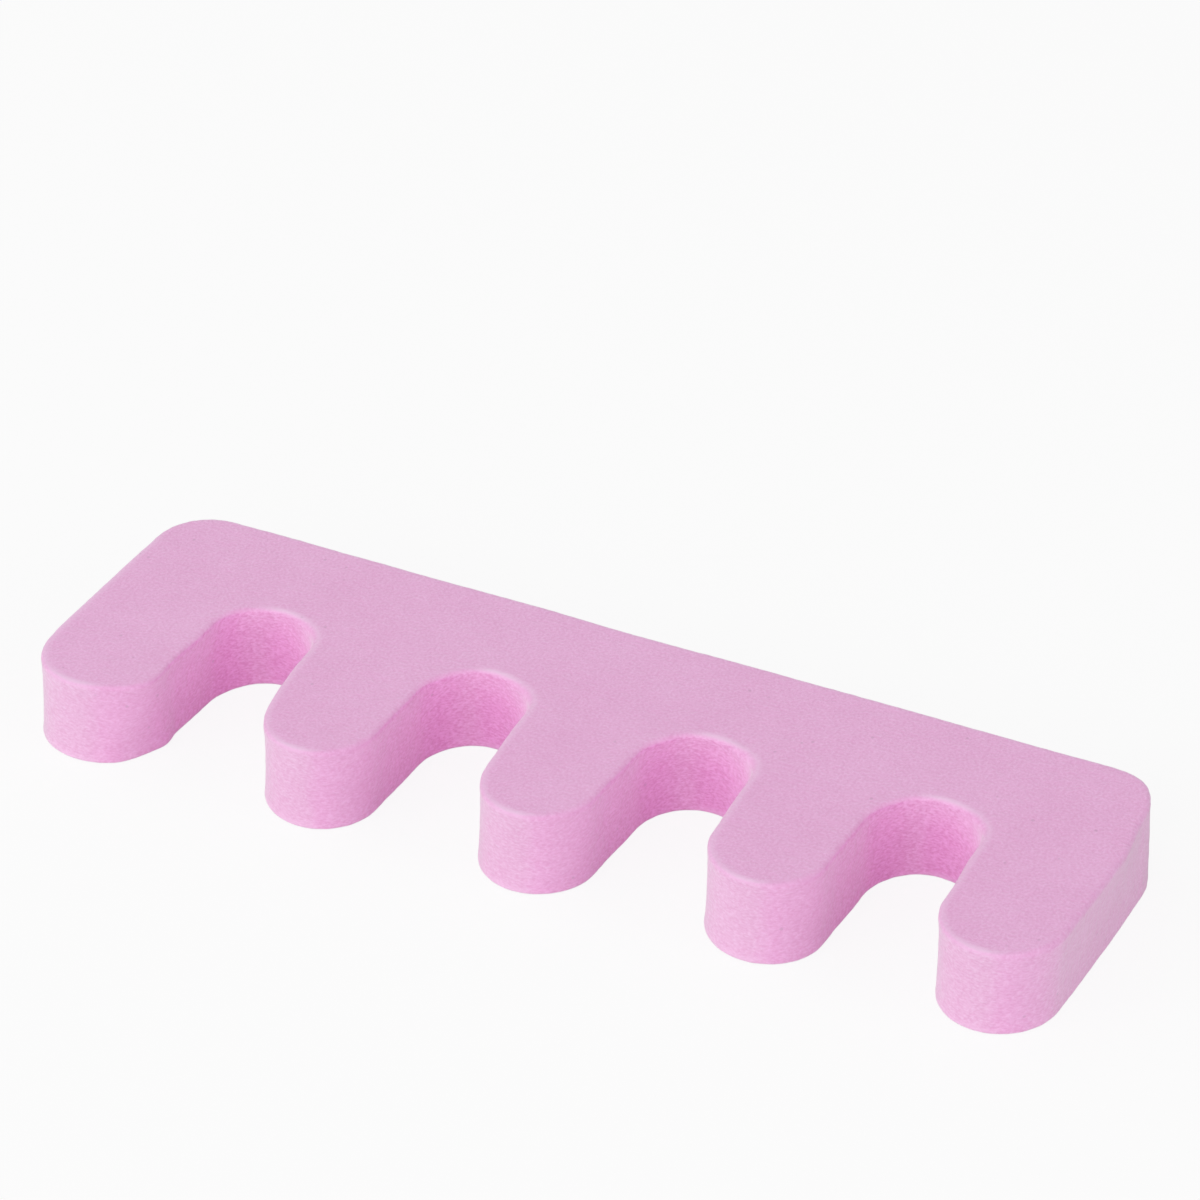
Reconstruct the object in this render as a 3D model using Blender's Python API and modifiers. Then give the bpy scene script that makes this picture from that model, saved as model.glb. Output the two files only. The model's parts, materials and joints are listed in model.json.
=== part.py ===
"""Foam toe separator: a flat comb of soft foam that spreads the toes.

The comb lies on one broad face. X runs along its length, the fingers point to -Y, the
straight back edge faces +Y and Z is the thickness. The origin is under the middle of the
comb. All sizes are in metres.
"""
import math

import bpy

# Plan of the comb
FINGER_COUNT = 5
FINGER_WIDTH = 0.0109
END_FINGER_WIDTH = 0.01125
SLOT_MOUTH_WIDTH = 0.0112
SLOT_ROOT_WIDTH = 0.0105
SLOT_DEPTH = 0.0178
SPINE_DEPTH = 0.0112
TIP_ROUND = 0.0055
ROOT_ROUND = 0.0052
BACK_CORNER_RADIUS = 0.0054

# Section of the comb
THICKNESS = 0.0089
RIM_RADIUS = 0.0004

# Fineness of the curved stretches
ARC_STEPS = 20
CORNER_STEPS = 8
FLANK_STEPS = 4
RIM_STEPS = 3
RIM_ANGLE = math.radians(40)
WELD_DISTANCE = 0.00001
FLAT_ANGLE = math.radians(0.1)

FOAM_COLOUR = (0.79, 0.42, 0.68, 1.0)
FOAM_ROUGHNESS = 0.9


def clear_scene():
    for thing in list(bpy.data.objects):
        bpy.data.objects.remove(thing, do_unlink=True)


def slot_centres():
    """Where each slot's middle line lies along X, from left to right."""
    pitch = FINGER_WIDTH + SLOT_MOUTH_WIDTH
    slot_count = FINGER_COUNT - 1
    return [(index - (slot_count - 1) / 2) * pitch for index in range(slot_count)]


def comb_length():
    """From the outside of one end finger to the outside of the other."""
    middle_fingers = (FINGER_COUNT - 2) * FINGER_WIDTH
    slots = (FINGER_COUNT - 1) * SLOT_MOUTH_WIDTH
    return middle_fingers + slots + 2 * END_FINGER_WIDTH


def ellipse_arc(centre, radii, start, end, steps):
    """Points along part of an ellipse, its angles in degrees."""
    points = []
    for step in range(steps + 1):
        angle = math.radians(start + (end - start) * step / steps)
        points.append((centre[0] + radii[0] * math.cos(angle), centre[1] + radii[1] * math.sin(angle)))
    return points


def flank(x_tip, x_root, y_tip, y_root):
    """A finger's side, which eases over from its tip's round to the slot's round."""
    points = []
    for step in range(1, FLANK_STEPS):
        share = step / FLANK_STEPS
        eased = share * share * (3 - 2 * share)
        points.append((x_tip + (x_root - x_tip) * eased, y_tip + (y_root - y_tip) * share))
    return points


def comb_outline():
    """The comb seen from above, anticlockwise from the left end finger's tip."""
    half_length = comb_length() / 2
    back = (SLOT_DEPTH + SPINE_DEPTH) / 2
    tip_round = min(TIP_ROUND, SLOT_DEPTH / 2)
    root_round = min(ROOT_ROUND, SLOT_DEPTH / 2)
    tip_base = tip_round - back
    root_base = SLOT_DEPTH - root_round - back

    points = []
    left_side = -half_length
    for centre in slot_centres():
        slot_left = centre - SLOT_MOUTH_WIDTH / 2
        slot_right = centre + SLOT_MOUTH_WIDTH / 2
        tip_middle = (left_side + slot_left) / 2
        points += ellipse_arc((tip_middle, tip_base), (slot_left - tip_middle, tip_round), 180, 360, ARC_STEPS)
        points += flank(slot_left, centre - SLOT_ROOT_WIDTH / 2, tip_base, root_base)
        points += ellipse_arc((centre, root_base), (SLOT_ROOT_WIDTH / 2, root_round), 180, 0, ARC_STEPS)
        points += reversed(flank(slot_right, centre + SLOT_ROOT_WIDTH / 2, tip_base, root_base))
        left_side = slot_right
    tip_middle = (left_side + half_length) / 2
    points += ellipse_arc((tip_middle, tip_base), (half_length - tip_middle, tip_round), 180, 360, ARC_STEPS)

    corner = (BACK_CORNER_RADIUS, BACK_CORNER_RADIUS)
    corner_x = half_length - BACK_CORNER_RADIUS
    corner_y = back - BACK_CORNER_RADIUS
    points += ellipse_arc((corner_x, corner_y), corner, 0, 90, CORNER_STEPS)
    points += ellipse_arc((-corner_x, corner_y), corner, 90, 180, CORNER_STEPS)
    return points


def foam_material():
    material = bpy.data.materials.new("pink_foam")
    material.use_nodes = True
    shader = material.node_tree.nodes["Principled BSDF"]
    shader.inputs["Base Color"].default_value = FOAM_COLOUR
    shader.inputs["Roughness"].default_value = FOAM_ROUGHNESS
    shader.inputs["Metallic"].default_value = 0.0
    material.diffuse_color = FOAM_COLOUR
    return material


def make_foam_comb(collection):
    """The whole comb, cut from one sheet of foam, with its rims softly rounded."""
    outline = comb_outline()
    curve = bpy.data.curves.new("foam_comb", "CURVE")
    curve.dimensions = "2D"
    curve.fill_mode = "BOTH"
    curve.extrude = THICKNESS / 2
    spline = curve.splines.new("POLY")
    spline.points.add(len(outline) - 1)
    for point, (x, y) in zip(spline.points, outline):
        point.co = (x, y, 0, 1)
    spline.use_cyclic_u = True
    spline.use_smooth = True
    curve.materials.append(foam_material())

    comb = bpy.data.objects.new("foam_comb", curve)
    comb.location = (0, 0, THICKNESS / 2)
    collection.objects.link(comb)

    weld = comb.modifiers.new("close_faces", "WELD")
    weld.merge_threshold = WELD_DISTANCE
    flat = comb.modifiers.new("whole_broad_faces", "DECIMATE")
    flat.decimate_type = "DISSOLVE"
    flat.angle_limit = FLAT_ANGLE
    rim = comb.modifiers.new("soft_rims", "BEVEL")
    rim.limit_method = "ANGLE"
    rim.angle_limit = RIM_ANGLE
    rim.width = min(RIM_RADIUS, THICKNESS / 3)
    rim.segments = RIM_STEPS
    rim.harden_normals = True
    return comb


def main():
    clear_scene()
    collection = bpy.data.collections.new("toe_separator")
    bpy.context.scene.collection.children.link(collection)
    make_foam_comb(collection)


main()
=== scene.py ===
"""Looks of the foam toe separator: a soft comb on a white table under studio light.

The foam piece is made from the frame's own solid: its plan is read from the solid's walls and
built again as a fine mesh, with rounded rims, cut walls that draw in a little at mid height,
fingers that each lean a little their own way, and the small lumps and dimples of foam.
Sizes and places are in metres, unless a comment names another unit.
"""
import json
import math

import bmesh
import bpy
import numpy as np
from mathutils import Matrix, Vector, geometry, kdtree, noise


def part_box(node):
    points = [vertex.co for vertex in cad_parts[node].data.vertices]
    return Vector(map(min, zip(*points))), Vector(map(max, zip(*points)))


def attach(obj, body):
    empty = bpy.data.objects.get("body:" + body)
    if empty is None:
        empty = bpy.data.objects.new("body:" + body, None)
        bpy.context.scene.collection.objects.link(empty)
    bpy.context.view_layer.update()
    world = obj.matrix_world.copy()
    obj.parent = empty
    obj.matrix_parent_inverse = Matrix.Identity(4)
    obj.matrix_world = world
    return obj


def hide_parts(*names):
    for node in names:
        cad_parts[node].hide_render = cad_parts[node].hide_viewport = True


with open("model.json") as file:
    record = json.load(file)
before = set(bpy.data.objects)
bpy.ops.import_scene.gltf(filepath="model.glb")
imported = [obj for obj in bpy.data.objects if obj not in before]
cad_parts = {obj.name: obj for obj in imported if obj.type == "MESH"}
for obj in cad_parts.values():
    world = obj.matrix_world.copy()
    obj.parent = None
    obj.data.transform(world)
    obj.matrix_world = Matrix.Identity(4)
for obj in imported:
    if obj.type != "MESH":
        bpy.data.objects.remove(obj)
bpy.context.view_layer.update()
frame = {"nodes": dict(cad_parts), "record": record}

# The photograph's frame in pixels, and the camera: the focal length in those pixels, the sensor
# in millimetres, distances in metres and angles in degrees
IMAGE_SIDE = 1200
FOCAL_PIXELS = 5195
SENSOR_WIDTH = 36.0
CAMERA_DISTANCE = 0.49297
CAMERA_AZIMUTH = 27.617
CAMERA_ELEVATION = 34.586
CAMERA_ROLL = -1.072
CAMERA_TARGET = Vector((-0.01364, 0.02917, 0.0))
CAMERA_CLIP = (0.01, 20)

# Reading the plan from the solid, and the fineness of the foam's mesh
WELD_DISTANCE = 1e-6
UPRIGHT = 0.01
PLAN_STEP = 0.0009
WALL_STEP = 0.00025
FACE_STEP = 0.00028
UNDERSIDE_STEP = 0.002
GRID_MARGIN = 0.6
SAME_POINT = 1e-8
TRIANGLES_INSIDE = 1
RIM_ROWS = 4

# The solid's slots and fingers
SLOT_DEPTH = 0.0178
SLOT_HALF_WIDTH = 0.00525
FINGER_HALF_WIDTH = 0.00545

# The lean and swell of each finger at its tip, from the comb's left end
FINGER_LEANS = (-0.00045, 0.00043, 0.00005, 0.00033, -0.00035)
FINGER_SPREADS = (0.0003, -0.00007, -0.0001, 0.00006, -0.0002)
LEAN_POWER = 1.5

# Slants of the cut walls: how far the foot and the top of each lie from the plain solid's wall.
# Sideways they have two walls to a finger, from the comb's left end.
WALL_FEET = (-0.0004, 0.0, -0.00035, 0.0, -0.00035, 0.0, -0.0003, 0.0, -0.0001, -0.0001)
WALL_TOPS = (0.0, 0.0007, -0.0001, 0.0004, 0.00005, 0.00035, 0.00015, 0.0002, 0.0, 0.00045)
SLOT_FEET = (0.0004, 0.0002, 0.0, 0.0003)
SLOT_TOPS = (-0.0001, -0.0002, -0.0005, -0.0001)
TIP_TOPS = (-0.0002, -0.00035, -0.0003, -0.0001, -0.00025)
TIP_REACH = 0.006
SPINE_REACH = 0.005
SLOT_END_REACH = 0.0072
SLOT_END_MARGIN = 0.0005

# Shoulders of the slots' round ends at their top: how far each is pushed out, the place as a
# share of the slot's half width and a distance before its end, and the push along X and Y,
# where Y is turned round for the left ones
LEFT_SHOULDERS = (-0.00025, 0.00035, 0.00035, 0.00025)
RIGHT_SHOULDERS = (0.0002, 0.0002, 0.0002, 0.0003)
SHOULDER_ASIDE = 0.85
SHOULDER_BEFORE_END = 0.0022
SHOULDER_PUSH = (0.85, 0.5)
SHOULDER_RADIUS = 0.0035

# Left corners of the fingers' tips, cut back at their top, with the place from each corner
LEFT_TIP_DRAWS = (0.00015, 0.0003, 0.00015, 0.0, 0.0)
LEFT_TIP_PLACE = (0.0004, 0.0038)
LEFT_TIP_RADIUS = 0.0038

# The blunt corner of the first finger's tip, with its places from the comb's lowest corner
FIRST_TIP_CORNER = (0.0107, 0.003)
FIRST_TIP_TOP_PUSH = (0.0004, -0.0002)
FIRST_TIP_TOP_RADIUS = 0.0035
FIRST_TIP_FOOT_PUSH = (-0.0002, 0.0001)
FIRST_TIP_FOOT_RADIUS = 0.0028
FIRST_TIP_SIDE = (0.0113, 0.0058)
FIRST_TIP_SIDE_PUSH = (0.00025, 0.0)
FIRST_TIP_SIDE_RADIUS = 0.002

# The bulge and the dents of the outer edges, each with its middle and half length along the edge
LEFT_END_BULGE = 0.00026
LEFT_BULGE_SPAN = (-0.0005, 0.0115)
RIGHT_END_DRAW = 0.00028
RIGHT_DRAW_SPAN = (0.0095, 0.006)
RIGHT_DRAW_FOOT = 0.25
BACK_DENT = 0.00013
BACK_DENT_SPAN = (-0.001, 0.012)
EDGE_REACH = 0.008

# The right back corner, pushed out at its top, with its place from the comb's highest corner
BACK_CORNER_PLACE = (-0.0021, -0.0011)
BACK_CORNER_PUSH = (0.00012, 0.00016)
BACK_CORNER_RADIUS = 0.003

# Rounder top rims, by the way that a wall faces and how far back it lies
RIM_SOFTENING = 0.0003
RIGHT_FACING = (0.3, 0.8)
LEFT_FACING = (0.2, 0.6)
RIGHT_FACING_SOFTNESS = 0.5
FIRST_FINGER_SOFTENS = (0.004, 0.01)
SOFT_SHOULDER_REACH = 0.0085
SOFTNESS_WINDOW = 9

# Swells and grain of the foam's skin
WALL_WAIST = 0.00010
SWELL_SIZE = 0.007
SWELL_HEIGHT = 0.00006
FACE_SWELL_SHARE = 0.3
GRAIN_SIZE = 0.0009
GRAIN_HEIGHT = 0.000025

# The painted highlight, a pale line along the rims and feet, and how it fades with the way that the
# rim faces
RIM_HIGHLIGHT_WIDTH = 0.00055
RIGHT_HIGHLIGHT_FADE = (0.5, 0.1)
BACK_HIGHLIGHT_FADE = (0.3, 0.0)
LEFT_HIGHLIGHT_LOSS = 0.5
FOOT_HIGHLIGHT = 0.5

# Depths from the finger tips over which a slot's walls reach deeper into it, which rounds the slots'
# shoulders and strengthens the painted shade on their walls
SLOT_DEPTHS = (0.001, 0.011)
END_WALL_MARGIN = 0.005
SLOT_END_ALLOWANCE = 0.001

# Spans that tell the parts of the skin apart: of the normal's upward and rightward share, of
# the height above the table and of slot_reach
TOP_NORMALS = (0.35, 0.8)
RIGHT_NORMALS = (0.1, 0.5)
FULL_RIGHT_NORMALS = (0.45, 0.95)
LEFT_NORMALS = (-0.75, -0.15)
LOW_HEIGHTS = (0.0045, 0.0086)
DEEP_REACHES = (0.2, 1.0)
SHALLOW_REACHES = (0.0, 0.6)

# The foam's cells: noise scales, the stretch and the turn in degrees of those on cut walls
TOP_CELLS = 3600
WALL_CELLS = 2700
BLOTCHES = 700
MOTTLE = 140
NOISE_DETAIL = 2
NOISE_ROUGHNESS = 0.55
NOISE_MIDDLE = 0.5
CELL_STRETCH = (1, 1, 1.8)
CELL_TURN = -10
# Spans of the cell noise for the painted shade in its pits and the painted highlight on its lumps
PIT_SHADE_RANGE = (0.34, 0.52)
LUMP_HIGHLIGHT_RANGE = (0.52, 0.68)

# How far each of them changes the tone, which runs from the dark to the bright pink; the cells'
# change is painted shade and highlight of the relief, stronger in the slots, and the blotches and
# mottle are random tone
MIDDLE_TONE = 0.52
CELL_SHADE_GAINS = (0.36, 0.32)
SLOT_CELL_SHADE_GAIN = 0.25
BLOTCH_GAIN = 0.3
MOTTLE_GAIN = 0.4
DARK_PINK = (0.86, 0.375, 0.69, 1)
BRIGHT_PINK = (0.99, 0.55, 0.87, 1)

# Tints of the painted shade in the slots and the painted sheen on the open walls, the pink of the
# painted highlight on the rims, and the specks
SLOT_SHADE_TINT = (1.0, 0.83, 0.975, 1)
SLOT_BACK_SHADE_SHARE = 0.6
OPEN_WALL_SHEEN_TINT = (0.98, 1.10, 1.0, 1)
RIM_HIGHLIGHT_PINK = (1.0, 0.64, 0.91, 1)
RIM_HIGHLIGHT_SHARE = 0.95
SHOULDER_HIGHLIGHT_SHARE = 0.4
SPECK_COLOUR = (0.45, 0.19, 0.36, 1)
SPECK_SCALE = 350
SPECK_RANGE = (0.03, 0.08)
SPECK_SHARE = 0.3

# How the foam takes the light
SHEEN = 0.8
SHEEN_ROUGHNESS = 0.5
SPECULAR = 0.3
ROUGHNESS_CELLS = (0.3, 0.7)
ROUGHNESS_RANGE = (0.95, 0.82)
BLOTCH_RELIEF = 0.6
RELIEF_STRENGTH = 0.6
RELIEF_HEIGHT = 0.0001

# Lamps around the comb: azimuth from the finger side and elevation in degrees, and strength
LAMP_DISTANCE = 0.9
LAMP_ANGLE = 35
LAMPS = {
    "left_low": (-90, 25, 0.027),
    "left_high": (-90, 55, 0.062),
    "front_left_low": (-40, 25, 0.187),
    "front_low": (0, 25, 0.21),
    "front_high": (0, 55, 0.038),
    "right_low": (90, 25, 0.155),
}

# The white room
WHITE = (1, 1, 1, 1)
WORLD_STRENGTH = 0.494
FLOOR_SIZE = 4
FLOOR_COLOUR = (0.9, 0.9, 0.9, 1)
FLOOR_WHITENESS = 0.88

# Sockets of Blender's mix node, which has some for each kind of value, and the nodes' layout
MIX_NUMBERS = (2, 3)
MIX_COLOURS = (6, 7)
MIX_COLOUR_OUTPUT = 2
NODES_IN_COLUMN = 6
NODE_SPACING = 250
FIRST_NODE_X = -2600


def share_between(values, start, end):
    """0 at a start and beyond it, growing evenly to 1 at an end and beyond it."""
    return np.clip((values - start) / (end - start), 0, 1)


def slot_middles():
    """X of each toe slot's middle line, from the openings that the record states."""
    boxes = [opening["box_m"] for opening in frame["record"]["physics"]["openings"]]
    return np.array(sorted((low[0] + high[0]) / 2 for low, high in boxes))


def wall_loop(node):
    """The solid's plan as a closed loop of points, read along the foot of its upright walls."""
    solid = bmesh.new()
    solid.from_mesh(frame["nodes"][node].data)
    bmesh.ops.remove_doubles(solid, verts=solid.verts, dist=WELD_DISTANCE)
    walls = [face for face in solid.faces if abs(face.normal.z) < UPRIGHT]
    foot = min(vert.co.z for face in walls for vert in face.verts)
    following = {}
    for face in walls:
        for loop in face.loops:
            start, end = loop.vert, loop.link_loop_next.vert
            if max(start.co.z, end.co.z) < foot + WELD_DISTANCE:
                following[start] = end
    first = vert = next(iter(following))
    points = []
    while True:
        points.append((vert.co.x, vert.co.y))
        vert = following[vert]
        if vert == first:
            break
    solid.free()
    return np.array(points), foot


def closed_lengths(points):
    """The distance along a closed loop at each of its points, and back at the first one."""
    steps = np.linalg.norm(np.roll(points, -1, axis=0) - points, axis=1)
    return np.concatenate([[0], np.cumsum(steps)])


def with_short_steps(points, longest):
    """The same loop, its long straight stretches cut into shorter ones."""
    result = []
    for start, end in zip(points, np.roll(points, -1, axis=0)):
        count = max(1, math.ceil(np.linalg.norm(end - start) / longest))
        result += [start + (end - start) * share / count for share in range(count)]
    return np.array(result)


def smooth_loop(points, step):
    """A smooth closed curve through the points, with new points about a step apart."""
    points = with_short_steps(points, PLAN_STEP)
    lengths = closed_lengths(points)
    total = lengths[-1]
    before = np.roll(points, 1, axis=0)
    after = np.roll(points, -1, axis=0)
    back_step = np.linalg.norm(points - before, axis=1)[:, None]
    next_step = np.linalg.norm(after - points, axis=1)[:, None]
    slopes = (points - before) / back_step * next_step + (after - points) / next_step * back_step
    slopes /= back_step + next_step
    wanted = np.arange(round(total / step)) * total / round(total / step)
    index = np.searchsorted(lengths, wanted, side="right") - 1
    following = (index + 1) % len(points)
    span = (lengths[index + 1] - lengths[index])[:, None]
    share = (wanted[:, None] - lengths[index][:, None]) / span
    square, cube = share ** 2, share ** 3
    return ((2 * cube - 3 * square + 1) * points[index]
            + (cube - 2 * square + share) * span * slopes[index]
            + (3 * square - 2 * cube) * points[following]
            + (cube - square) * span * slopes[following])


def outward(loop):
    """The plan's outward directions at each point of an anticlockwise loop."""
    along = np.roll(loop, -1, axis=0) - np.roll(loop, 1, axis=0)
    along /= np.linalg.norm(along, axis=1)[:, None]
    return np.column_stack([along[:, 1], -along[:, 0]])


def inside(points, loop):
    """Which points lie inside a closed loop."""
    crossings = np.zeros(len(points), int)
    for (x0, y0), (x1, y1) in zip(loop, np.roll(loop, -1, axis=0)):
        if y0 == y1:
            continue
        spans = (points[:, 1] >= min(y0, y1)) & (points[:, 1] < max(y0, y1))
        reach = x0 + (points[:, 1] - y0) * (x1 - x0) / (y1 - y0)
        crossings += spans & (points[:, 0] < reach)
    return crossings % 2 == 1


def even_points(loop, step, directions):
    """Points of a triangular grid that lie well inside the loop."""
    row_step = step * math.sqrt(3) / 2
    low, high = loop.min(axis=0), loop.max(axis=0)
    rows = np.arange(low[1], high[1], row_step)
    columns = np.arange(low[0], high[0], step)
    x, y = np.meshgrid(columns, rows)
    x += (np.arange(len(rows)) % 2 * step / 2)[:, None]
    grid = np.column_stack([x.ravel(), y.ravel()])
    return grid[inside(grid, loop - directions * step * GRID_MARGIN)]


def filled_face(loop, step, directions):
    """Triangles over the plan between the loop and an even grid inside it."""
    grid = even_points(loop, step, directions)
    plan = [Vector(point) for point in np.vstack([loop, grid])]
    edges = [(index, (index + 1) % len(loop)) for index in range(len(loop))]
    result = geometry.delaunay_2d_cdt(plan, edges, [], TRIANGLES_INSIDE, SAME_POINT)
    faces, origins = result[2], result[3]
    back = [origin[0] for origin in origins]
    return grid, [[back[corner] for corner in face] for face in faces]


def rim_rows(radius):
    """Inset and distance from the broad face of each row of a quarter-round rim."""
    angles = [math.pi / 2 * row / RIM_ROWS for row in range(RIM_ROWS + 1)]
    return [(radius * (1 - math.sin(angle)), radius * (1 - math.cos(angle))) for angle in angles]


def wall_rows(foot_radius, top_radii, height):
    """Inset and height of each row of the wall, from its bottom rim to its top rim."""
    no_inset = np.zeros_like(top_radii)
    rows = [(no_inset + inset, no_inset + level) for inset, level in rim_rows(foot_radius)]
    middle = height - foot_radius - top_radii
    count = round((height - 2 * foot_radius) / WALL_STEP)
    rows += [(no_inset, foot_radius + middle * row / count) for row in range(1, count)]
    rows += [(inset, height - level) for inset, level in reversed(rim_rows(top_radii))]
    return rows


def rim_softness(loop, directions, lowest, highest):
    """How much rounder the top rim is, from 0 to 1.

    It is half on the walls that face right, less at the first finger's tip, and full at the
    slots' right shoulders.
    """
    spine = lowest[1] + SLOT_DEPTH + SPINE_REACH
    rightward = share_between(directions[:, 0], *RIGHT_FACING) * (loop[:, 1] < spine)
    inward = share_between(loop[:, 1] - lowest[1], *FIRST_FINGER_SOFTENS)
    rightward *= np.where(loop[:, 0] < slot_middles()[0], inward, 1)
    shoulder = share_between(-directions[:, 0], *LEFT_FACING)
    shoulder *= slot_reaches(loop, lowest, highest) ** 2 * (loop[:, 1] > spine - SOFT_SHOULDER_REACH)
    together = np.maximum(RIGHT_FACING_SOFTNESS * rightward, shoulder)
    half = SOFTNESS_WINDOW // 2
    padded = np.concatenate([together[-half:], together, together[:half]])
    return np.convolve(padded, np.ones(SOFTNESS_WINDOW) / SOFTNESS_WINDOW, "valid")


def fine_solid(node):
    """The node's solid as a fine mesh: wall rows between a dense top and a plain underside.

    It comes with the top rim's and the foot's loops and the plan's outward directions.
    """
    lowest, highest = (np.array(corner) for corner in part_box(node))
    points, foot = wall_loop(node)
    loop = smooth_loop(points, WALL_STEP)
    directions = outward(loop)
    top_radii = foot - lowest[2] + RIM_SOFTENING * rim_softness(loop, directions, lowest, highest)
    profile = wall_rows(foot - lowest[2], top_radii, highest[2] - lowest[2])
    count = len(loop)

    rows = []
    for inset, level in profile:
        plan = loop - directions * inset[:, None]
        rows.append(np.column_stack([plan, lowest[2] + level]))
    verts = list(rows)
    faces = []
    for row in range(len(profile) - 1):
        for column in range(count):
            side = (column + 1) % count
            low, high = row * count, (row + 1) * count
            faces.append((low + column, low + side, high + side, high + column))

    made = len(profile) * count
    for row, step, turned in ((len(profile) - 1, FACE_STEP, False), (0, UNDERSIDE_STEP, True)):
        grid, triangles = filled_face(rows[row][:, :2], step, directions)
        verts.append(np.column_stack([grid, np.full(len(grid), rows[row][0, 2])]))
        for triangle in triangles:
            corners = [row * count + c if c < count else made + c - count for c in triangle]
            faces.append(corners[::-1] if turned else corners)
        made += len(grid)

    mesh = bpy.data.meshes.new("soft_foam_comb")
    mesh.from_pydata(np.vstack(verts).tolist(), [], faces)
    mesh.update()
    return mesh, [rows[-1], rows[RIM_ROWS]], directions


def rim_highlight_paint(points, rims, directions):
    """Where the foam gets its painted highlight and looks paler: 1 along a top rim that faces the
    fingers' side.

    It is half at a foot or on a rim that faces left, and 0 on one that faces right or back.
    """
    loops = np.vstack(rims)
    tree = kdtree.KDTree(len(loops))
    for index, point in enumerate(loops):
        tree.insert(point, index)
    tree.balance()
    found = [tree.find(point) for point in points]
    index = np.array([nearest[1] for nearest in found])
    distance = np.array([nearest[2] for nearest in found])
    rightward, backward = directions[index % len(directions)].T
    lit = share_between(rightward, *RIGHT_HIGHLIGHT_FADE) * share_between(backward, *BACK_HIGHLIGHT_FADE)
    lit *= 1 - LEFT_HIGHLIGHT_LOSS * share_between(-rightward, *LEFT_FACING)
    lit *= np.where(index < len(directions), 1, FOOT_HIGHLIGHT)
    near = np.clip(1 - distance / RIM_HIGHLIGHT_WIDTH, 0, 1)
    return near * near * (3 - 2 * near) * lit


def slot_reaches(points, lowest, highest):
    """0 at the finger tips and the outer walls, growing to 1 on the walls deep in a slot."""
    depth = share_between(points[:, 1] - lowest[1], *SLOT_DEPTHS)
    right_of_end = points[:, 0] > lowest[0] + END_WALL_MARGIN
    left_of_end = points[:, 0] < highest[0] - END_WALL_MARGIN
    ahead = points[:, 1] < lowest[1] + SLOT_DEPTH + SLOT_END_ALLOWANCE
    return depth * right_of_end * left_of_end * ahead


def between_heights(height, foot, top):
    """A shift of a wall's foot and top that fades towards its waist."""
    return foot * (1 - height) ** 2 + top * height ** 2


def bump_near(distance, radius):
    """1 at a place, falling smoothly to 0 at a radius from it."""
    return np.clip(1 - (distance / radius) ** 2, 0, 1) ** 2


def push_near(points, place, radius, push, strength):
    """A push along X and Y of the points around a place, by a strength for each point."""
    distance = np.hypot(points[:, 0] - place[0], points[:, 1] - place[1])
    return (bump_near(distance, radius) * strength)[:, None] * push


def edge_bump(along, span, inward):
    """1 at the middle of a span along an outer edge, falling to 0 at its ends and inwards."""
    middle, half_length = span
    return bump_near(along - middle, half_length) * bump_near(inward, EDGE_REACH)


def slant_walls(points, height, lowest, highest):
    """Each finger's walls lean sideways, by as much at the slots' round ends too."""
    middles = slot_middles()
    inner = np.sort(np.concatenate([middles - SLOT_HALF_WIDTH, middles + SLOT_HALF_WIDTH]))
    places = np.concatenate([lowest[:1], inner, highest[:1]])
    root = lowest[1] + SLOT_DEPTH
    share = np.clip(1 - (points[:, 1] - root) / SPINE_REACH, 0, 1)
    foot = np.interp(points[:, 0], places, WALL_FEET)
    top = np.interp(points[:, 0], places, WALL_TOPS)
    return share * between_heights(height, foot, top)


def slant_slot_ends(points, height, lowest):
    """Each slot's round end reaches back at its foot and comes forward at its top."""
    root = lowest[1] + SLOT_DEPTH
    ahead = np.clip(1 - (root - points[:, 1]) / SLOT_END_REACH, 0, 1)
    behind = np.clip(1 - (points[:, 1] - root) / SPINE_REACH, 0, 1)
    depth = np.minimum(ahead, behind)
    shift = np.zeros(len(points))
    for middle, foot, top in zip(slot_middles(), SLOT_FEET, SLOT_TOPS):
        aside = np.abs(points[:, 0] - middle) / (SLOT_HALF_WIDTH + SLOT_END_MARGIN)
        share = np.clip(2 * (1 - aside), 0, 1) * depth
        shift += share * between_heights(height, foot, top)
    return shift


def slant_tips(points, height, lowest):
    """Each finger's tip comes forward at its top."""
    share = np.clip(1 - (points[:, 1] - lowest[1]) / TIP_REACH, 0, 1)
    finger = np.searchsorted(slot_middles(), points[:, 0])
    return share * height ** 2 * np.array(TIP_TOPS)[finger]


def shift_shoulders(points, height, lowest):
    """The slots' round ends are squarer at their top, or drawn in where the size is negative."""
    shift = np.zeros((len(points), 2))
    along, back = SHOULDER_PUSH
    for middle, left, right in zip(slot_middles(), LEFT_SHOULDERS, RIGHT_SHOULDERS):
        for side, size in ((-1, left), (1, right)):
            place = (middle + side * SHOULDER_ASIDE * SLOT_HALF_WIDTH,
                     lowest[1] + SLOT_DEPTH - SHOULDER_BEFORE_END)
            push = (along, back * side)
            shift += push_near(points, place, SHOULDER_RADIUS, push, size * height ** 2)
    return shift


def draw_left_tips(points, height, lowest):
    """Some fingers' tips are cut back at the top of their left corner."""
    lefts = np.concatenate([lowest[:1], slot_middles() + SLOT_HALF_WIDTH])
    shift = np.zeros((len(points), 2))
    for left, size in zip(lefts, LEFT_TIP_DRAWS):
        place = (left + LEFT_TIP_PLACE[0], lowest[1] + LEFT_TIP_PLACE[1])
        shift += push_near(points, place, LEFT_TIP_RADIUS, (size, 0.0), height ** 2)
    return shift


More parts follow.
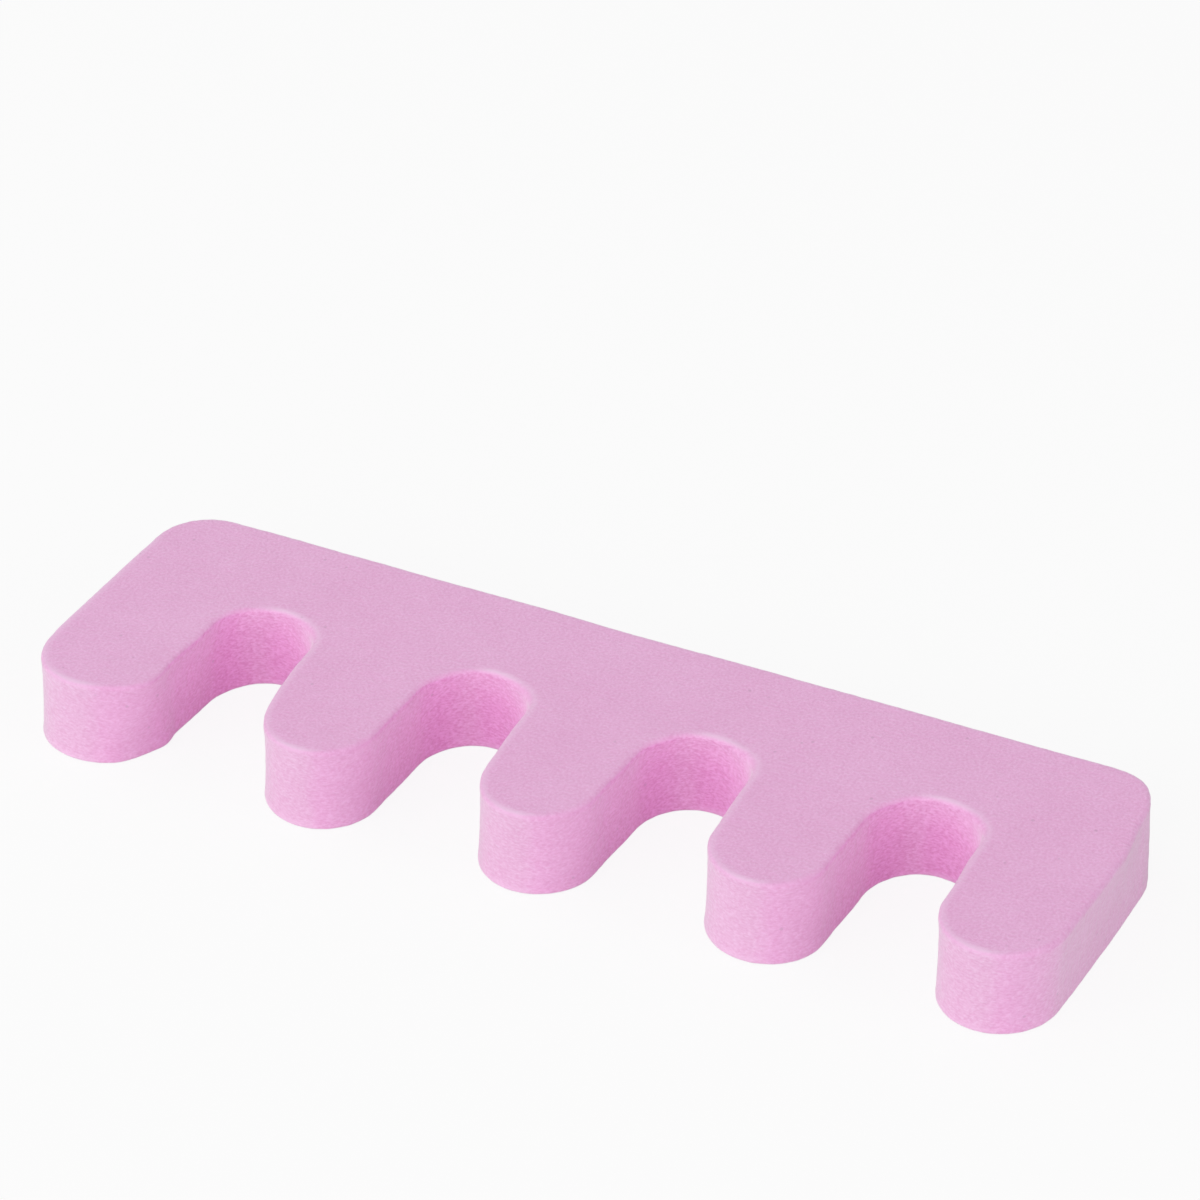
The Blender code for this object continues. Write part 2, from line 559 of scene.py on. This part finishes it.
def shift_first_tip(points, height, lowest):
    """The first finger's tip ends in a blunt corner at its right."""
    corner = lowest[:2] + FIRST_TIP_CORNER
    side = lowest[:2] + FIRST_TIP_SIDE
    low = 1 - height
    return (push_near(points, corner, FIRST_TIP_TOP_RADIUS, FIRST_TIP_TOP_PUSH, height)
            + push_near(points, corner, FIRST_TIP_FOOT_RADIUS, FIRST_TIP_FOOT_PUSH, low)
            + push_near(points, side, FIRST_TIP_SIDE_RADIUS, FIRST_TIP_SIDE_PUSH, low))


def slant(points, lowest, highest):
    """The small slants, bulges and dents of the cut edges, which differ from comb to comb."""
    height = (points[:, 2] - lowest[2]) / (highest[2] - lowest[2])
    x, y = points[:, 0].copy(), points[:, 1].copy()
    sideways = slant_walls(points, height, lowest, highest)
    onward = slant_slot_ends(points, height, lowest) + slant_tips(points, height, lowest)
    shift = np.column_stack([sideways, onward])
    shift += shift_shoulders(points, height, lowest)
    shift += shift_first_tip(points, height, lowest)
    shift += draw_left_tips(points, height, lowest)
    shift[:, 0] -= LEFT_END_BULGE * edge_bump(y, LEFT_BULGE_SPAN, x - lowest[0])
    draw = RIGHT_END_DRAW * between_heights(height, RIGHT_DRAW_FOOT, 1.0)
    shift[:, 0] -= draw * edge_bump(y, RIGHT_DRAW_SPAN, x - highest[0])
    shift[:, 1] -= BACK_DENT * edge_bump(x, BACK_DENT_SPAN, y - highest[1])
    corner = highest[:2] + BACK_CORNER_PLACE
    shift += push_near(points, corner, BACK_CORNER_RADIUS, BACK_CORNER_PUSH, height ** 2)
    points[:, :2] += shift


def bend_fingers(points, lowest, highest):
    """Each finger leans sideways and swells or thins a little, more towards its tip."""
    root = lowest[1] + SLOT_DEPTH
    reach = np.clip((root - points[:, 1]) / SLOT_DEPTH, 0, 1) ** LEAN_POWER
    middles = slot_middles()
    finger = np.searchsorted(middles, points[:, 0])
    between = (middles[:-1] + middles[1:]) / 2
    ends = [lowest[0] + FINGER_HALF_WIDTH, highest[0] - FINGER_HALF_WIDTH]
    axes = np.concatenate([ends[:1], between, ends[1:]])[finger]
    lean = np.array(FINGER_LEANS)[finger]
    spread = np.array(FINGER_SPREADS)[finger] * (points[:, 0] - axes) / FINGER_HALF_WIDTH
    points[:, 0] += (lean + spread) * reach


def noise_at(points, size):
    """Smooth noise at each point, with lumps of about a size."""
    return np.array([noise.noise(Vector(point) / size) for point in points])


def soften_surface(points, normals, lowest, highest):
    """Walls draw in at mid height, and the whole skin swells and dips as foam does."""
    height = (points[:, 2] - lowest[2]) / (highest[2] - lowest[2])
    wall = np.linalg.norm(normals[:, :2], axis=1)
    waist = WALL_WAIST * wall ** 2 * (1 - (2 * height - 1) ** 4)
    swell = noise_at(points, SWELL_SIZE) * SWELL_HEIGHT
    grain = noise_at(points, GRAIN_SIZE) * GRAIN_HEIGHT
    swell_share = FACE_SWELL_SHARE + (1 - FACE_SWELL_SHARE) * wall
    side = normals.copy()
    side[:, 2] = 0
    points -= side * waist[:, None]
    points += normals * (swell_share * swell + grain)[:, None]
    points[:, 2] = np.maximum(points[:, 2], lowest[2])


def mesh_points(mesh):
    """The mesh's points as rows of X, Y and Z."""
    points = np.zeros(len(mesh.vertices) * 3)
    mesh.vertices.foreach_get("co", points)
    return points.reshape(-1, 3)


def mesh_normals(mesh):
    """The direction that the mesh faces at each of its points."""
    normals = np.zeros(len(mesh.vertices) * 3, np.float32)
    mesh.vertex_normals.foreach_get("vector", normals)
    return normals.reshape(-1, 3).astype(float)


def add_node(tree, kind, **settings):
    """A new shader node, laid out in columns in the order of making."""
    node = tree.nodes.new(kind)
    column, row = divmod(len(tree.nodes), NODES_IN_COLUMN)
    node.location = (FIRST_NODE_X + column * NODE_SPACING, -row * NODE_SPACING)
    for name, value in settings.items():
        setattr(node, name, value)
    return node


def feed(tree, socket, value):
    """Link a node's output to a socket, or set the socket to a number or a colour."""
    if isinstance(value, bpy.types.NodeSocket):
        tree.links.new(value, socket)
    else:
        socket.default_value = value


def math_node(tree, operation, *values, clamp=False):
    """The result of a calculation with outputs of other nodes, or with numbers."""
    node = add_node(tree, "ShaderNodeMath", operation=operation, use_clamp=clamp)
    for socket, value in zip(node.inputs, values):
        feed(tree, socket, value)
    return node.outputs[0]


def times(tree, first, *others):
    """The product of two or more values."""
    for other in others:
        first = math_node(tree, "MULTIPLY", first, other)
    return first


def ranged(tree, value, span, result=(0.0, 1.0)):
    """A value that goes smoothly from one result to the other over a span."""
    node = add_node(tree, "ShaderNodeMapRange", interpolation_type="SMOOTHSTEP")
    feed(tree, node.inputs["Value"], value)
    for name, number in zip(("From Min", "From Max", "To Min", "To Max"), (*span, *result)):
        node.inputs[name].default_value = number
    return node.outputs[0]


def noise_node(tree, vector, scale):
    """Noise with about so many lumps to the metre."""
    node = add_node(tree, "ShaderNodeTexNoise")
    feed(tree, node.inputs["Vector"], vector)
    node.inputs["Scale"].default_value = scale
    node.inputs["Detail"].default_value = NOISE_DETAIL
    node.inputs["Roughness"].default_value = NOISE_ROUGHNESS
    return node.outputs[0]


def mixed(tree, factor, first, second, blend="MIX"):
    """Two colours mixed by a factor."""
    node = add_node(tree, "ShaderNodeMix", data_type="RGBA", blend_type=blend)
    feed(tree, node.inputs["Factor"], factor)
    feed(tree, node.inputs[MIX_COLOURS[0]], first)
    feed(tree, node.inputs[MIX_COLOURS[1]], second)
    return node.outputs[MIX_COLOUR_OUTPUT]


def mesh_value(tree, name):
    """A value that the mesh holds for each of its points."""
    return add_node(tree, "ShaderNodeAttribute", attribute_name=name).outputs["Fac"]


def skin_parts(tree, coords):
    """Values from 0 to 1 that tell the parts of the skin apart, by name."""
    spot = add_node(tree, "ShaderNodeSeparateXYZ")
    feed(tree, spot.inputs[0], coords.outputs["Object"])
    facing = add_node(tree, "ShaderNodeSeparateXYZ")
    feed(tree, facing.inputs[0], coords.outputs["Normal"])
    level = math_node(tree, "ABSOLUTE", facing.outputs["Z"])
    rightward = facing.outputs["X"]
    reach = mesh_value(tree, "slot_reach")
    wall = ranged(tree, level, TOP_NORMALS, (1.0, 0.0))
    return {
        "level": level,
        "wall": wall,
        "low": ranged(tree, spot.outputs["Z"], LOW_HEIGHTS, (1.0, 0.0)),
        "not_right": ranged(tree, rightward, RIGHT_NORMALS, (1.0, 0.0)),
        "full_right": ranged(tree, rightward, FULL_RIGHT_NORMALS),
        "left": ranged(tree, rightward, LEFT_NORMALS, (1.0, 0.0)),
        "in_slot": times(tree, ranged(tree, reach, DEEP_REACHES), wall),
        "near_slot": ranged(tree, reach, SHALLOW_REACHES),
    }


def foam_cells(tree, coords, wall):
    """Noise for the foam's cells, which are longer on the cut walls, and for its blotches."""
    stretched = add_node(tree, "ShaderNodeMapping")
    stretched.inputs["Scale"].default_value = CELL_STRETCH
    stretched.inputs["Rotation"].default_value = (0, math.radians(CELL_TURN), 0)
    feed(tree, stretched.inputs["Vector"], coords.outputs["Object"])
    along_wall = stretched.outputs[0]
    cells = add_node(tree, "ShaderNodeMix", data_type="FLOAT")
    feed(tree, cells.inputs["Factor"], wall)
    top_cells = noise_node(tree, coords.outputs["Object"], TOP_CELLS)
    wall_cells = noise_node(tree, along_wall, WALL_CELLS)
    feed(tree, cells.inputs[MIX_NUMBERS[0]], top_cells)
    feed(tree, cells.inputs[MIX_NUMBERS[1]], wall_cells)
    return cells.outputs[0], noise_node(tree, along_wall, BLOTCHES)


def cell_tone(tree, coords, cells, blotches, parts):
    """From 0 in the foam's pits, with painted shade, to 1 on its lumps, with painted highlight, plus
    random mottle.
    """
    # Painted shade in the pits and painted highlight on the lumps, where the bump relief dips and
    # rises
    pits = ranged(tree, cells, PIT_SHADE_RANGE, (1.0, 0.0))
    lumps = ranged(tree, cells, LUMP_HIGHLIGHT_RANGE)
    gain = ranged(tree, parts["level"], TOP_NORMALS, CELL_SHADE_GAINS)
    gain = math_node(tree, "ADD", gain, times(tree, parts["in_slot"], SLOT_CELL_SHADE_GAIN))
    tone = times(tree, math_node(tree, "SUBTRACT", lumps, pits), gain)
    mottle = noise_node(tree, coords.outputs["Object"], MOTTLE)
    for lightness, strength in ((blotches, BLOTCH_GAIN), (mottle, MOTTLE_GAIN)):
        change = times(tree, math_node(tree, "SUBTRACT", lightness, NOISE_MIDDLE), strength)
        tone = math_node(tree, "ADD", tone, change)
    return math_node(tree, "ADD", tone, MIDDLE_TONE, clamp=True)


def paint_slot_shade_and_wall_sheen(tree, skin, parts):
    """Painted shade turns the slots' walls deeper in colour, painted sheen the open walls greyer."""
    # Painted shade: a slot's walls that face right, and the low part of its other walls, turn deeper
    # pink
    right_wall_shade = times(tree, parts["full_right"], parts["wall"], parts["near_slot"])
    slot_back_shade = times(tree, parts["not_right"], parts["low"], SLOT_BACK_SHADE_SHARE)
    slot_back_shade = times(tree, parts["in_slot"], slot_back_shade)
    # deep is the share of painted shade in the slots
    deep = math_node(tree, "ADD", right_wall_shade, slot_back_shade, clamp=True)
    skin = mixed(tree, deep, skin, SLOT_SHADE_TINT, blend="MULTIPLY")
    # Painted sheen: open walls that don't face right turn paler and greyer
    open_wall_sheen = math_node(tree, "SUBTRACT", parts["wall"], parts["in_slot"])
    open_wall_sheen = times(tree, open_wall_sheen, parts["not_right"])
    return mixed(tree, open_wall_sheen, skin, OPEN_WALL_SHEEN_TINT, blend="MULTIPLY")


def paint_rim_highlights(tree, skin, parts):
    """Painted highlights: pale rims and feet, and the slots' right shoulders paler at their top."""
    high = math_node(tree, "SUBTRACT", 1.0, parts["low"])
    # Painted highlight at the top of the slots' walls that face left, towards the left lamps
    shoulder = times(tree, parts["left"], parts["in_slot"], high, SHOULDER_HIGHLIGHT_SHARE)
    # Painted highlight along the rims, from the values that the mesh holds
    rim = times(tree, mesh_value(tree, "rim_highlight_paint"), RIM_HIGHLIGHT_SHARE)
    pale = math_node(tree, "ADD", rim, shoulder, clamp=True)
    return mixed(tree, pale, skin, RIM_HIGHLIGHT_PINK)


def add_specks(tree, skin, coords):
    """The skin with a few small dark specks."""
    dots = add_node(tree, "ShaderNodeTexVoronoi")
    dots.inputs["Scale"].default_value = SPECK_SCALE
    feed(tree, dots.inputs["Vector"], coords.outputs["Object"])
    speck = ranged(tree, dots.outputs["Distance"], SPECK_RANGE, (SPECK_SHARE, 0.0))
    return mixed(tree, speck, skin, SPECK_COLOUR)


def foam_material():
    """Soft pink foam: fine dimples, longer ones on the cut walls, mottling and a few specks, with
    painted shade, sheen and highlights.
    """
    material = bpy.data.materials.new("pink_foam_skin")
    material.use_nodes = True
    tree = material.node_tree
    coords = add_node(tree, "ShaderNodeTexCoord")
    parts = skin_parts(tree, coords)
    cells, blotches = foam_cells(tree, coords, parts["wall"])

    tone = cell_tone(tree, coords, cells, blotches, parts)
    skin = mixed(tree, tone, DARK_PINK, BRIGHT_PINK)
    skin = paint_slot_shade_and_wall_sheen(tree, skin, parts)
    skin = paint_rim_highlights(tree, skin, parts)
    skin = add_specks(tree, skin, coords)

    bump = add_node(tree, "ShaderNodeBump")
    bump.inputs["Strength"].default_value = RELIEF_STRENGTH
    bump.inputs["Distance"].default_value = RELIEF_HEIGHT
    relief = math_node(tree, "ADD", cells, times(tree, blotches, BLOTCH_RELIEF))
    feed(tree, bump.inputs["Height"], relief)

    shader = tree.nodes["Principled BSDF"]
    feed(tree, shader.inputs["Base Color"], skin)
    feed(tree, shader.inputs["Roughness"], ranged(tree, cells, ROUGHNESS_CELLS, ROUGHNESS_RANGE))
    feed(tree, shader.inputs["Normal"], bump.outputs[0])
    shader.inputs["Sheen Weight"].default_value = SHEEN
    shader.inputs["Sheen Roughness"].default_value = SHEEN_ROUGHNESS
    shader.inputs["Specular IOR Level"].default_value = SPECULAR
    return material


def make_foam():
    """The whole comb as one soft piece, in place of the frame's solid."""
    lowest, highest = (np.array(corner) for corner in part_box("foam_comb"))
    mesh, rims, directions = fine_solid("foam_comb")
    points = mesh_points(mesh)
    normals = mesh_normals(mesh)
    reaches = slot_reaches(points, lowest, highest)
    # Painted highlight along the rims, which fades with the way that each rim faces
    rim_highlight_values = rim_highlight_paint(points, rims, directions)
    soften_surface(points, normals, lowest, highest)
    slant(points, lowest, highest)
    bend_fingers(points, lowest, highest)
    mesh.vertices.foreach_set("co", points.ravel())
    for name, values in (("rim_highlight_paint", rim_highlight_values), ("slot_reach", reaches)):
        mesh.attributes.new(name, "FLOAT", "POINT").data.foreach_set("value", values)
    mesh.update()
    mesh.shade_smooth()
    mesh.materials.append(foam_material())
    foam = bpy.data.objects.new("soft_foam_comb", mesh)
    bpy.context.scene.collection.objects.link(foam)
    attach(foam, "root")
    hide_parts("foam_comb")
    print("foam triangles", sum(len(face.vertices) - 2 for face in mesh.polygons))


def direction(azimuth, elevation):
    """Unit vector towards a place around the comb, azimuth 0 being the fingers' side."""
    azimuth, elevation = math.radians(azimuth), math.radians(elevation)
    level = math.cos(elevation)
    return Vector((math.sin(azimuth) * level, -math.cos(azimuth) * level, math.sin(elevation)))


def make_camera():
    """The photograph's camera."""
    data = bpy.data.cameras.new("camera")
    data.sensor_width = SENSOR_WIDTH
    data.lens = FOCAL_PIXELS / IMAGE_SIDE * SENSOR_WIDTH
    data.clip_start, data.clip_end = CAMERA_CLIP
    camera = bpy.data.objects.new("camera", data)
    back = direction(CAMERA_AZIMUTH, CAMERA_ELEVATION)
    camera.location = CAMERA_TARGET + back * CAMERA_DISTANCE
    turn = (-back).to_track_quat("-Z", "Y").to_matrix()
    camera.rotation_euler = (turn @ Matrix.Rotation(math.radians(CAMERA_ROLL), 3, "Z")).to_euler()
    bpy.context.scene.collection.objects.link(camera)
    bpy.context.scene.camera = camera


def camera_rays(tree):
    """1 for what the camera sees directly, and 0 for light on its way around the room."""
    return add_node(tree, "ShaderNodeLightPath").outputs["Is Camera Ray"]


def show_by_share(tree, share, usual, shown, output):
    """Mix a usual shader with the one shown to the camera, and end at the tree's output."""
    mix = add_node(tree, "ShaderNodeMixShader")
    for socket, value in zip(mix.inputs, (share, usual, shown)):
        tree.links.new(value, socket)
    tree.links.new(mix.outputs[0], tree.nodes[output].inputs["Surface"])


def make_floor():
    """A matt floor, shown to the camera nearly as white as the background, its shadow faint."""
    bpy.ops.mesh.primitive_plane_add(size=FLOOR_SIZE)
    floor = bpy.context.object
    floor.name = "floor"
    material = bpy.data.materials.new("white_floor")
    material.use_nodes = True
    tree = material.node_tree
    shader = tree.nodes["Principled BSDF"]
    shader.inputs["Base Color"].default_value = FLOOR_COLOUR
    shader.inputs["Roughness"].default_value = 1.0
    shader.inputs["Specular IOR Level"].default_value = 0.0
    white = add_node(tree, "ShaderNodeEmission")
    share = times(tree, camera_rays(tree), FLOOR_WHITENESS)
    show_by_share(tree, share, shader.outputs[0], white.outputs[0], "Material Output")
    floor.data.materials.append(material)


def make_lamp(name, azimuth, elevation, strength):
    """A round soft box that lights a white surface facing it to the given strength."""
    data = bpy.data.lights.new(name, "AREA")
    data.shape = "DISK"
    data.size = 2 * LAMP_DISTANCE * math.tan(math.radians(LAMP_ANGLE / 2))
    data.energy = strength * (math.pi * LAMP_DISTANCE) ** 2
    lamp = bpy.data.objects.new(name, data)
    towards = direction(azimuth, elevation)
    lamp.location = towards * LAMP_DISTANCE
    lamp.rotation_euler = (-towards).to_track_quat("-Z", "Y").to_euler()
    bpy.context.scene.collection.objects.link(lamp)


def make_world():
    """Soft light from all sides, and a pure white background for the camera."""
    world = bpy.data.worlds.new("white_room")
    bpy.context.scene.world = world
    world.use_nodes = True
    tree = world.node_tree
    soft = tree.nodes["Background"]
    seen = add_node(tree, "ShaderNodeBackground")
    for background, strength in ((soft, WORLD_STRENGTH), (seen, 1.0)):
        background.inputs["Color"].default_value = WHITE
        background.inputs["Strength"].default_value = strength
    show_by_share(tree, camera_rays(tree), soft.outputs[0], seen.outputs[0], "World Output")


make_foam()
make_floor()
make_camera()
make_world()
for lamp_name, lamp in LAMPS.items():
    make_lamp(lamp_name, *lamp)
bpy.context.scene.view_settings.view_transform = "Standard"
